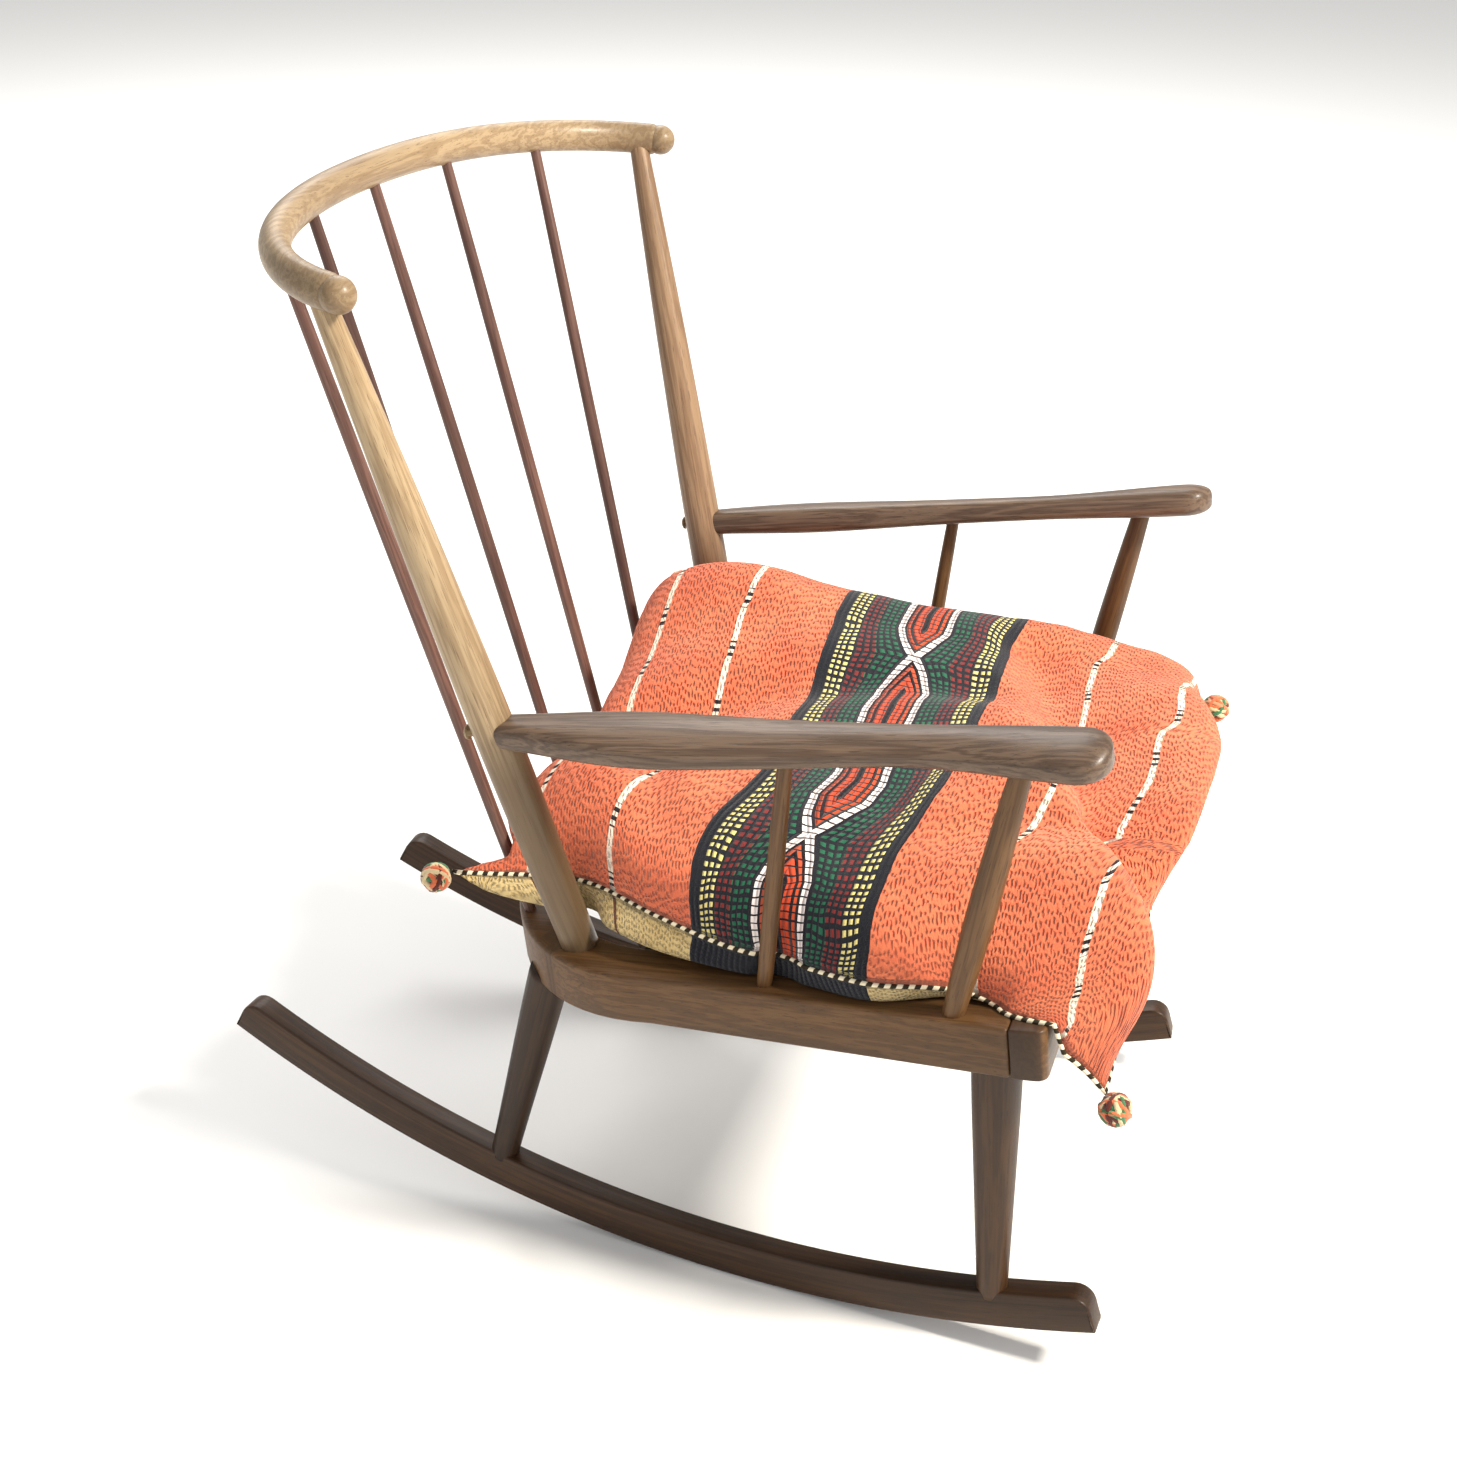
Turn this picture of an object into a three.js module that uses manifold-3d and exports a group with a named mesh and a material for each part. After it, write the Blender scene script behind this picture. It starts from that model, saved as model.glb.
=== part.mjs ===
// A spindle-backed rocking chair in dark stained wood, with a loose tasselled cushion.
//
// The chair faces -Y, +Z is up and +X is the sitter's left. It stands at rest on its rockers.
// Every position below is taken from the point on the floor where the rockers touch down. The last
// lines move the whole chair so that its origin is the centre of its footprint on the floor.
import * as THREE from 'three';
import { mergeVertices } from 'three/addons/utils/BufferGeometryUtils.js';
import Module from 'manifold-3d';

const wasm = await Module();
wasm.setup();

// ---- driving dimensions, millimetres and degrees ----
const gap = 0.3;
const rocker = { radius: 1030, height: 34, width: 22, facet: 4.4, rearEnd: 28, frontEnd: 17.5,
  halfGauge: 190.3, toeIn: 3.9, endRound: 17 };
const seat = { height: 316.6, slope: 6.89, thickness: 42, railWidth: 44, frontFace: 255.3, frontDepth: 27,
  frontHalf: 266.5, cornerRound: 9, sideHalf: 247, flare: 0.085, bendStart: 60, backEdge: 239.7,
  bendSide: [3, 110], bendBack: -107 };
const post = { foot: [199.3, 130.4], crestShare: 0.878,
  radii: [14.8, 15.6, 16.5, 16.3, 15, 13.3, 10.9, 8.2] };
const crest = { middle: [0, 380.7], end: [299.9, 246.4], reach: 229.7, endReach: 51.4, endTurn: -75.2,
  endHeight: 835.6, rise: 0.065, arch: 8.6, tall: 13, deep: 11 };
const spindle = { radius: 5.2, feet: [[0, 216.8], [92.9, 216.5], [154, 193.7]],
  crestShare: [0, 0.19, 0.465] };
const leg = { frontHead: [238, -216.4], rearHead: [183, 165], frontFoot: -221.6, rearFoot: 216.5,
  frontRadii: [12.5, 14, 15.5, 17, 18.5, 19.5], rearRadii: [12, 13, 14.2, 15.5, 16.6, 17.5] };
const arm = { rear: [237.3, 166.8], rearHeight: 500.3, slope: 9.35, roll: 7.5, length: 453,
  thickness: 20, bow: [0, 10, 14.5, 16, 26.5], halfWidth: [12, 24, 19.8, 15.5, 23.6], ease: 3, overhang: 8 };
const support = { frontFoot: [250, -184], frontHead: [264.8, -221.8],
  frontRadii: [8.3, 10, 10.8, 10.4, 9.4, 7.8],
  midFoot: [234.5, -35.5], midHead: [255.6, -54.1], midRadii: [5.9, 6.4, 6.6, 6.4, 6.1, 5.5] };
const peg = { leg: 9, rocker: 7, post: 8, spindle: 4, crest: 3.4, support: 4.5, arm: 6, depth: 16,
  shallow: 10, crestDepth: 4, root: 6, armRoot: 12, clearance: 4 };
const overrun = { stick: 6, leg: 8 };
const slab = { width: 700, length: 900, above: 60, below: 40 };
const plug = { stem: 3.5, behindPeg: 7, length: 16, radius: 6, dome: 3.2, hole: 24 };
const strap = { width: 50, thick: 3, pitch: 63, first: -197, count: 5, drop: 8, clip: 4, clipTall: 9 };
const cushion = { front: -306, rear: 178, half: 219, rearHalf: 181, seam: 5, puff: 92, sag: 22,
  seamHeight: 25, leftLift: 66, cells: 20, lift: 0.6 };
const corners = {
  right_front: { place: [-261, -299, 303], side: [-1, -1], tightness: 30 },
  left_front: { place: [238, -298, 382], side: [1, -1], tightness: 30 },
  right_rear: { place: [-187, 246, 337], side: [-1, 1], tightness: 38 },
  left_rear: { place: [192, 180, 452], side: [1, 1], tightness: 9 },
};
const pompon = { radius: 13, reach: 14, drop: 4, centre: [0, -66] };

const walnut = new THREE.MeshStandardMaterial({ color: '#5b4230', roughness: 0.45 });
const honey = new THREE.MeshStandardMaterial({ color: '#8a6a44', roughness: 0.42 });
const steel = new THREE.MeshStandardMaterial({ color: '#8d9094', roughness: 0.4, metalness: 1 });
const rubber = new THREE.MeshStandardMaterial({ color: '#22242b', roughness: 0.85 });
const cloth = new THREE.MeshStandardMaterial({ color: '#cf5a3a', roughness: 0.95 });
const yarn = new THREE.MeshStandardMaterial({ color: '#c98a5c', roughness: 0.95 });

const chair = new THREE.Group();
const seatPlane = new THREE.Group();
seatPlane.position.z = seat.height;
seatPlane.rotation.x = -THREE.MathUtils.degToRad(seat.slope);
chair.add(seatPlane);
chair.updateMatrixWorld(true);

// ---- solids: joining, cutting and placing ----
const toSolid = (geometry) => {
  const bare = geometry.clone();
  bare.deleteAttribute('normal');
  bare.deleteAttribute('uv');
  const merged = mergeVertices(bare, 1e-4);
  return new wasm.Manifold(new wasm.Mesh({
    numProp: 3, vertProperties: merged.attributes.position.array, triVerts: merged.index.array }));
};

const toGeometry = (body) => {
  const mesh = body.getMesh();
  const geometry = new THREE.BufferGeometry();
  geometry.setAttribute('position', new THREE.BufferAttribute(mesh.vertProperties, 3));
  geometry.setIndex(new THREE.BufferAttribute(mesh.triVerts, 1));
  geometry.computeVertexNormals();
  return geometry;
};

// Tools are geometries in the chair's frame; the mesh keeps its own place.
const work = (mesh, { cut, join = [] }) => {
  mesh.updateWorldMatrix(true, false);
  const toLocal = mesh.matrixWorld.clone().invert();
  const local = (tool) => toSolid(tool.clone().applyMatrix4(toLocal));
  let body = toSolid(mesh.geometry);
  for (const tool of cut) body = body.subtract(local(tool));
  for (const tool of join) body = body.add(local(tool));
  mesh.geometry = toGeometry(body);
};

const add = (name, geometry, material, parent = chair) => {
  const mesh = new THREE.Mesh(geometry, material);
  mesh.name = name;
  parent.add(mesh);
  return mesh;
};

const inChair = (mesh) => {
  mesh.updateWorldMatrix(true, false);
  return mesh.geometry.clone().applyMatrix4(mesh.matrixWorld);
};

const vec = (x, y, z) => new THREE.Vector3(x, y, z);
const mirrored = (point, side) => vec(point.x * side, point.y, point.z);
const sides = [['right', -1], ['left', 1]];

// ---- heights of the surfaces that the turned members meet ----
const slopeTan = Math.tan(THREE.MathUtils.degToRad(seat.slope));
const seatTop = ([x, y]) => vec(x, y, seat.height - slopeTan * y);
const seatUnder = ([x, y]) => vec(x, y, seatTop([x, y]).z
  - seat.thickness / Math.cos(THREE.MathUtils.degToRad(seat.slope)));
const rockerX = (y) => rocker.halfGauge - Math.tan(THREE.MathUtils.degToRad(rocker.toeIn)) * y;
const rockerTop = (y) => vec(rockerX(y), y,
  rocker.radius - Math.sqrt((rocker.radius - rocker.height) ** 2 - y * y));
const armSlope = THREE.MathUtils.degToRad(arm.slope);
const armUnder = (armMesh, x, y) => {
  const up = vec(0, 0, 1).applyEuler(armMesh.rotation);
  const from = armMesh.position;
  return vec(x, y, from.z - (up.x * (x - from.x) + up.y * (y - from.y) + arm.thickness / 2) / up.z);
};

// A rod between two points, overrunning each by the lengths given.
const rod = (from, to, radius, before = 0, after = 0, segments = 12) => {
  const along = to.clone().sub(from);
  const length = along.length();
  const geometry = new THREE.CylinderGeometry(radius, radius, length + before + after, segments);
  geometry.translate(0, (length + after - before) / 2, 0);
  geometry.applyQuaternion(new THREE.Quaternion().setFromUnitVectors(vec(0, 1, 0), along.normalize()));
  return geometry.translate(from.x, from.y, from.z);
};

// A turned member from foot to head; its radii are spaced evenly between the two.
const turned = (name, foot, head, radii, overrun, material = walnut) => {
  const along = head.clone().sub(foot);
  const length = along.length();
  const profile = [new THREE.Vector2(0, -overrun), new THREE.Vector2(radii[0], -overrun)];
  radii.forEach((radius, i) => profile.push(new THREE.Vector2(radius, length * i / (radii.length - 1))));
  profile.push(new THREE.Vector2(radii[radii.length - 1], length + overrun));
  profile.push(new THREE.Vector2(0, length + overrun));
  const mesh = add(name, new THREE.LatheGeometry(profile, 12), material);
  mesh.position.copy(foot);
  mesh.quaternion.setFromUnitVectors(vec(0, 1, 0), along.normalize());
  return mesh;
};

// The peg on a member's end, and the socket that takes it.
const pegAndSocket = (end, other, radius, depth, root = peg.root) => {
  const inward = other.clone().sub(end).normalize();
  const start = end.clone().addScaledVector(inward, root);
  const tip = end.clone().addScaledVector(inward, -depth);
  return { peg: rod(start, tip, radius), socket: rod(start, tip, radius + gap, peg.clearance, gap) };
};

// ---- rockers: bars on a circular arc, the underside in short flats ----
const rockerShape = (grow) => {
  const outer = rocker.radius + grow;
  const inner = rocker.radius - rocker.height - grow;
  const at = (radius, degrees) => {
    const angle = THREE.MathUtils.degToRad(degrees);
    return new THREE.Vector2(radius * Math.sin(angle), rocker.radius - radius * Math.cos(angle));
  };
  const onFlat = (degrees) => {
    const offCentre = degrees - rocker.facet * Math.round(degrees / rocker.facet);
    return at(outer / Math.cos(THREE.MathUtils.degToRad(offCentre)), degrees);
  };
  const points = [onFlat(-rocker.frontEnd)];
  const firstEdge = Math.ceil(-rocker.frontEnd / rocker.facet - 0.5) + 0.5;
  for (let edge = firstEdge; edge * rocker.facet < rocker.rearEnd; edge += 1) {
    points.push(onFlat(edge * rocker.facet));
  }
  points.push(onFlat(rocker.rearEnd));
  const shape = new THREE.Shape().setFromPoints(points);

  const roundAngle = THREE.MathUtils.radToDeg(rocker.endRound / rocker.radius);
  const rearTop = rocker.rearEnd - roundAngle;
  const frontTop = roundAngle - rocker.frontEnd;
  const rearSide = at(inner + rocker.endRound, rocker.rearEnd);
  const rearCorner = at(inner, rocker.rearEnd);
  const frontSide = at(inner + rocker.endRound, -rocker.frontEnd);
  const frontCorner = at(inner, -rocker.frontEnd);
  shape.lineTo(rearSide.x, rearSide.y);
  shape.quadraticCurveTo(rearCorner.x, rearCorner.y, at(inner, rearTop).x, at(inner, rearTop).y);
  const topSteps = 16;
  for (let k = 1; k <= topSteps; k += 1) {
    const p = at(inner, rearTop + (frontTop - rearTop) * k / topSteps);
    shape.lineTo(p.x, p.y);
  }
  shape.quadraticCurveTo(frontCorner.x, frontCorner.y, frontSide.x, frontSide.y);
  return shape;
};

const rockerBar = (name, side, grow) => {
  const width = rocker.width + 2 * grow;
  const geometry = new THREE.ExtrudeGeometry(rockerShape(grow),
    { depth: width, bevelEnabled: false, curveSegments: 5 });
  geometry.translate(0, 0, -width / 2);
  geometry.applyMatrix4(new THREE.Matrix4().makeBasis(vec(0, 1, 0), vec(0, 0, 1), vec(1, 0, 0)));
  const mesh = new THREE.Mesh(geometry, walnut);
  mesh.name = name;
  mesh.position.x = side * rocker.halfGauge;
  mesh.rotation.z = side * THREE.MathUtils.degToRad(rocker.toeIn);
  mesh.updateMatrixWorld(true);
  return mesh;
};

// ---- seat frame: a bent bow for the sides and back, and a straight front rail ----
const bowPoints = (inset, count) => {
  const straightFront = -seat.frontFace + seat.frontDepth + gap;
  const half = (y) => seat.sideHalf - seat.flare * y - inset;
  const [sideOut, sideBack] = seat.bendSide;
  const shrink = 1 - inset / seat.backEdge;
  const start = new THREE.Vector2(half(seat.bendStart), seat.bendStart);
  const bend = new THREE.CubicBezierCurve(start,
    new THREE.Vector2(seat.sideHalf + sideOut - inset, seat.bendStart + sideBack * shrink),
    new THREE.Vector2((seat.sideHalf + seat.bendBack) * shrink, seat.backEdge - inset),
    new THREE.Vector2(0, seat.backEdge - inset));
  const front = new THREE.Vector2(half(straightFront), straightFront);
  const right = [front, ...bend.getPoints(count)];
  const left = right.slice(0, -1).reverse().map((p) => new THREE.Vector2(-p.x, p.y));
  return [...right, ...left];
};

const seatBow = () => {
  const outline = [...bowPoints(0, 12), ...bowPoints(seat.railWidth, 12).reverse()];
  const geometry = new THREE.ExtrudeGeometry(new THREE.Shape(outline),
    { depth: seat.thickness, bevelEnabled: false });
  return add('seat_bow', geometry.translate(0, 0, -seat.thickness), walnut, seatPlane);
};

const frontRail = () => {
  const shape = new THREE.Shape();
  const back = -seat.frontFace + seat.frontDepth;
  const r = seat.cornerRound;
  shape.moveTo(-seat.frontHalf, back);
  shape.lineTo(-seat.frontHalf, -seat.frontFace + r);
  shape.quadraticCurveTo(-seat.frontHalf, -seat.frontFace, -seat.frontHalf + r, -seat.frontFace);
  shape.lineTo(seat.frontHalf - r, -seat.frontFace);
  shape.quadraticCurveTo(seat.frontHalf, -seat.frontFace, seat.frontHalf, -seat.frontFace + r);
  shape.lineTo(seat.frontHalf, back);
  const geometry = new THREE.ExtrudeGeometry(shape,
    { depth: seat.thickness, bevelEnabled: false, curveSegments: 5 });
  return add('front_rail', geometry.translate(0, 0, -seat.thickness), walnut, seatPlane);
};

// A slab that fills the space on one side of the seat frame's top or underside.
const seatSlab = (from, to) => {
  const box = new THREE.BoxGeometry(slab.width, slab.length, to - from);
  return box.translate(0, 0, (from + to) / 2).applyMatrix4(seatPlane.matrixWorld);
};

// ---- crest rail: a bow with ball ends, swept along its own curve ----
const crestHeight = (x, y) => crest.endHeight + crest.rise * (y - crest.end[1])
  + crest.arch * (1 - (x / crest.end[0]) ** 2);
const crestTurn = THREE.MathUtils.degToRad(crest.endTurn);
const crestPlan = new THREE.CubicBezierCurve(
  new THREE.Vector2(...crest.middle),
  new THREE.Vector2(crest.reach, crest.middle[1]),
  new THREE.Vector2(crest.end[0] - crest.endReach * Math.cos(crestTurn),
    crest.end[1] - crest.endReach * Math.sin(crestTurn)),
  new THREE.Vector2(...crest.end));
const crestPoint = (share) => {
  const { x, y } = crestPlan.getPoint(share);
  return vec(x, y, crestHeight(x, y));
};

const crestSolid = (grow, segments) => {
  const half = Array.from({ length: 15 }, (_, i) => crestPoint(i / 14));
  const points = [...half.slice(1).reverse().map((p) => mirrored(p, -1)), ...half];
  const path = new THREE.CatmullRomCurve3(points);
  const shape = new THREE.Shape();
  shape.absellipse(0, 0, crest.tall + grow, crest.deep + grow, 0, 2 * Math.PI);
  const bar = new THREE.ExtrudeGeometry(shape,
    { steps: 28, extrudePath: path, bevelEnabled: false, curveSegments: segments });
  let body = toSolid(bar);
  for (const end of [points[0], points[points.length - 1]]) {
    const ball = new THREE.SphereGeometry(crest.tall + grow, 12, 8).translate(end.x, end.y, end.z);
    body = body.add(toSolid(ball));
  }
  return toGeometry(body);
};

// ---- arms: paddles, narrow at the post and broad and round at the front ----
const armShape = (side) => {
  const last = arm.bow.length - 1;
  const step = (arm.length - arm.halfWidth[last]) / last;
  const edge = (sign) => arm.bow.map((x, i) =>
    new THREE.Vector2(side * (x + sign * (arm.halfWidth[i] - arm.ease)), -i * step));
  const outer = new THREE.SplineCurve(edge(1)).getPoints(12);
  const inner = new THREE.SplineCurve(edge(-1)).getPoints(12).reverse();
  const outerEnd = outer[outer.length - 1];
  const innerEnd = inner[0];
  const tip = new THREE.Vector2(side * arm.bow[last], -arm.length + arm.ease);
  const shape = new THREE.Shape().setFromPoints(outer);
  shape.bezierCurveTo(outerEnd.x + side, tip.y + 6, tip.x + side * 10, tip.y, tip.x, tip.y);
  shape.bezierCurveTo(tip.x - side * 10, tip.y, innerEnd.x - side, tip.y + 6, innerEnd.x, innerEnd.y);
  inner.forEach((p) => shape.lineTo(p.x, p.y));
  return shape;
};

const armPaddle = (name, side) => {
  const geometry = new THREE.ExtrudeGeometry(armShape(side), { depth: arm.thickness - 2 * arm.ease,
    bevelSize: arm.ease, bevelThickness: arm.ease, bevelSegments: 2, curveSegments: 5 });
  geometry.translate(0, arm.overhang, -arm.thickness / 2 + arm.ease);
  const mesh = add(name, geometry, walnut);
  mesh.position.set(side * arm.rear[0], arm.rear[1], arm.rearHeight);
  mesh.rotation.set(-armSlope, side * THREE.MathUtils.degToRad(arm.roll), 0);
  return mesh;
};

// ---- cushion: a pillow whose corners are drawn out to the pompons ----
// The side on the sitter's left rides up against the back post.
const leftRise = (u) => cushion.leftLift * ((u + 1) / 2) ** 2;

// u runs from the sitter's right to left and v from front to rear, both -1 to 1.
const pillowPoint = (u, v) => {
  const y = THREE.MathUtils.mapLinear(v, -1, 1, cushion.front, cushion.rear);
  const half = THREE.MathUtils.lerp(cushion.half, cushion.rearHalf, THREE.MathUtils.smoothstep(v, 0.1, 1));
  return vec(u * half, y, cushion.seamHeight + leftRise(u));
};

const pillow = () => {
  const geometry = new THREE.BoxGeometry(2, 2, 1, cushion.cells, cushion.cells, 1);
  const toSeat = seatPlane.matrixWorld.clone().invert();
  const place = geometry.attributes.position;
  for (let i = 0; i < place.count; i += 1) {
    const u = place.getX(i);
    const v = place.getY(i);
    const isTop = place.getZ(i) > 0;
    const full = ((1 - u ** 4) * (1 - v ** 4)) ** cushion.lift;
    const point = pillowPoint(u, v);
    for (const { place: spot, side: [su, sv], tightness } of Object.values(corners)) {
      const closeness = ((1 + su * u) / 2 * (1 + sv * v) / 2) ** tightness;
      point.addScaledVector(vec(...spot).applyMatrix4(toSeat).sub(pillowPoint(su, sv)), closeness);
    }
    const bulge = isTop ? cushion.puff * full : -(cushion.sag + leftRise(u)) * full;
    point.z += bulge + (isTop ? 1 : -1) * cushion.seam / 2;
    place.setXYZ(i, point.x, point.y, point.z);
  }
  return add('cushion', toGeometry(toSolid(geometry)), cloth, seatPlane);
};

const pompons = () => {
  for (const [name, { place: [x, y, z] }] of Object.entries(corners)) {
    const away = vec(x - pompon.centre[0], y - pompon.centre[1], 0).normalize();
    const ball = add(`pompon_${name}`, new THREE.SphereGeometry(pompon.radius, 12, 8), yarn);
    ball.position.set(x, y, z).addScaledVector(away, pompon.reach);
    ball.position.z -= pompon.drop;
  }
};

// ---- webbing: rubberised straps across the frame, each hooked by a steel clip at both rails ----
const webbing = () => {
  for (let i = 0; i < strap.count; i += 1) {
    const y = strap.first + i * strap.pitch;
    const faceAt = (v) => seat.sideHalf - seat.flare * v - seat.railWidth;
    const face = Math.min(faceAt(y - strap.width / 2), faceAt(y + strap.width / 2)) - gap;
    const z = -strap.drop;
    const band = new THREE.BoxGeometry(2 * (face - strap.clip - gap), strap.width, strap.thick);
    add(`strap_${i + 1}`, band.translate(0, y, z), rubber, seatPlane);
    for (const [word, side] of sides) {
      const hook = new THREE.BoxGeometry(strap.clip, strap.width, strap.clipTall);
      hook.translate(side * (face - strap.clip / 2), y, z - 2);
      add(`strap_clip_${word}_${i + 1}`, hook, steel, seatPlane);
    }
  }
};

// ---- build ----
const bow = seatBow();
const rail = frontRail();
const bowTools = [];
const crestTools = [];
const crestClear = crestSolid(gap, 6);
const aboveSeat = seatSlab(-slab.above, gap);
const belowSeat = seatSlab(-seat.thickness - gap, slab.below);
const spindleLine = (index) => {
  const foot = seatTop(spindle.feet[Math.abs(index)]);
  const head = crestPoint(spindle.crestShare[Math.abs(index)]);
  const side = index < 0 ? -1 : 1;
  return [mirrored(foot, side), mirrored(head, side)];
};

for (let k = -2; k <= 2; k += 1) {
  const [foot, head] = spindleLine(k);
  const r = spindle.radius;
  const mesh = turned(`spindle_${k + 3}`, foot, head, [r - 0.6, r, r + 0.2, r, r - 0.8],
    overrun.stick);
  const low = pegAndSocket(foot, head, peg.spindle, peg.depth);
  const high = pegAndSocket(head, foot, peg.crest, peg.crestDepth, 2 * crest.tall);
  work(mesh, { cut: [aboveSeat, crestClear], join: [low.peg, high.peg] });
  bowTools.push(low.socket);
  crestTools.push(high.socket);
}

// A turned stick between two of the members above and below it, pegged into both.
const peggedStick = (name, foot, head, radii, overrun, cut, footPeg, headPeg) => {
  const stick = turned(name, foot, head, radii, overrun);
  const low = pegAndSocket(foot, head, ...footPeg);
  const high = pegAndSocket(head, foot, ...headPeg);
  work(stick, { cut, join: [low.peg, high.peg] });
  return [low.socket, high.socket];
};

const plugButton = (name, start, direction) => {
  const profile = [[0, 0], [plug.stem, 0], [plug.stem, plug.length], [plug.radius, plug.length],
    [plug.radius * 0.8, plug.length + plug.dome * 0.7], [0, plug.length + plug.dome]];
  const points = profile.map(([r, z]) => new THREE.Vector2(r, z));
  const button = add(name, new THREE.LatheGeometry(points, 14), honey);
  button.position.copy(start);
  button.quaternion.setFromUnitVectors(vec(0, 1, 0), direction);
};

for (const [word, side] of sides) {
  const foot = mirrored(seatTop(post.foot), side);
  const crestEnd = mirrored(crestPoint(post.crestShare), side);
  const postMesh = turned(`post_${word}`, foot, crestEnd, post.radii, overrun.stick, honey);
  const low = pegAndSocket(foot, crestEnd, peg.post, peg.depth);
  const high = pegAndSocket(crestEnd, foot, peg.spindle, peg.crestDepth, 2 * crest.tall);
  const grown = turned('cutter', foot, crestEnd, post.radii.map((r) => r + gap), overrun.stick);
  const postClear = inChair(grown);
  chair.remove(grown);

  const armMesh = armPaddle(`arm_${word}`, side);
  const back = vec(0, Math.cos(armSlope), -Math.sin(armSlope));
  const armBack = vec(side * arm.rear[0], arm.rear[1], arm.rearHeight).addScaledVector(back, -peg.root);
  const armTip = armBack.clone().addScaledVector(back, peg.depth);
  const armRoot = armBack.clone().addScaledVector(back, -peg.armRoot);
  const armPeg = rod(armRoot, armTip, peg.arm);
  const armSocket = rod(armRoot, armTip, peg.arm + gap, peg.clearance, gap);

  const plugStart = armTip.clone().addScaledVector(back, plug.behindPeg);
  const plugHole = rod(plugStart, plugStart.clone().addScaledVector(back, plug.hole), plug.stem + gap, gap);
  work(postMesh, { cut: [aboveSeat, crestClear, armSocket, plugHole], join: [low.peg, high.peg] });
  bowTools.push(low.socket);
  crestTools.push(high.socket);
  plugButton(`arm_plug_${word}`, plugStart, back);

  const armTools = [];
  armMesh.updateWorldMatrix(true, false);
  const armFloor = new THREE.BoxGeometry(slab.width, slab.length, slab.above)
    .translate(0, 0, slab.above / 2 - gap - arm.thickness / 2);
  armFloor.applyMatrix4(armMesh.matrixWorld);
  for (const [kind, footSpot, headSpot, radii] of [
    ['front', support.frontFoot, support.frontHead, support.frontRadii],
    ['mid', support.midFoot, support.midHead, support.midRadii]]) {
    const [seatSocket, armHole] = peggedStick(`arm_support_${kind}_${word}`,
      mirrored(seatTop(footSpot), side), armUnder(armMesh, side * headSpot[0], headSpot[1]), radii,
      overrun.stick, [aboveSeat, armFloor], [peg.support, peg.depth], [peg.support, peg.shallow]);
    bowTools.push(seatSocket);
    armTools.push(armHole);
  }
  work(armMesh, { cut: [postClear, ...armTools], join: [armPeg] });

  const bar = rockerBar(`rocker_${word}`, side, 0);
  chair.add(bar);
  const barClear = inChair(rockerBar('cutter', side, gap));
  const barTools = [];
  for (const [kind, headSpot, footY, radii] of [
    ['front', leg.frontHead, leg.frontFoot, leg.frontRadii],
    ['rear', leg.rearHead, leg.rearFoot, leg.rearRadii]]) {
    const [rockerSocket, seatSocket] = peggedStick(`leg_${kind}_${word}`,
      mirrored(rockerTop(footY), side), mirrored(seatUnder(headSpot), side), radii, overrun.leg,
      [belowSeat, barClear], [peg.rocker, peg.depth], [peg.leg, peg.depth]);
    barTools.push(rockerSocket);
    bowTools.push(seatSocket);
  }
  work(bar, { cut: barTools });
}

const crestMesh = add('crest_rail', crestSolid(0, 6), honey);
work(crestMesh, { cut: crestTools });
work(bow, { cut: bowTools });
webbing();
pillow();
pompons();

// ---- origin: the centre of the footprint, on the floor ----
const part = new THREE.Group();
part.add(chair);
part.updateMatrixWorld(true);
const bounds = new THREE.Box3();
chair.traverse((node) => {
  if (node.isMesh) bounds.union(new THREE.Box3().setFromBufferAttribute(
    inChair(node).attributes.position));
});
const middle = bounds.getCenter(new THREE.Vector3());
chair.position.set(-middle.x, -middle.y, -bounds.min.z);

export default part;
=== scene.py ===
import math
import random

import bmesh
import bpy
from mathutils import Euler, Matrix, Vector, noise


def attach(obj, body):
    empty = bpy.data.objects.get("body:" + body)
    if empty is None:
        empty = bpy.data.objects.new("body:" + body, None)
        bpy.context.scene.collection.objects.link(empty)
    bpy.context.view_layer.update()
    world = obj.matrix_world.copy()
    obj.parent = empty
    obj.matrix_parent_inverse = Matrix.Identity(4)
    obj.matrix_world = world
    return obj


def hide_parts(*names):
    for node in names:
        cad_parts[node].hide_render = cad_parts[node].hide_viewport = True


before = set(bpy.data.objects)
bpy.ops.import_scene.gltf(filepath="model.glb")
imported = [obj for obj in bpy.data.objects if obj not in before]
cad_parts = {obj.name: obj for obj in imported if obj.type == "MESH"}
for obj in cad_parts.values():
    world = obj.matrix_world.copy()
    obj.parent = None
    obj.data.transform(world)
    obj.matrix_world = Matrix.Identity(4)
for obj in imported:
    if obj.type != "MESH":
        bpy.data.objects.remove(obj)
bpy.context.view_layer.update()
scene = bpy.context.scene
# from the point where the rockers touch the floor to the middle of the footprint
footprintShift = Vector((0, -0.0810244, 0))
sides = (("right", -1), ("left", 1))


# shader helpers
def numberOf(value):
    return value.socket if isinstance(value, Number) else value


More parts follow.
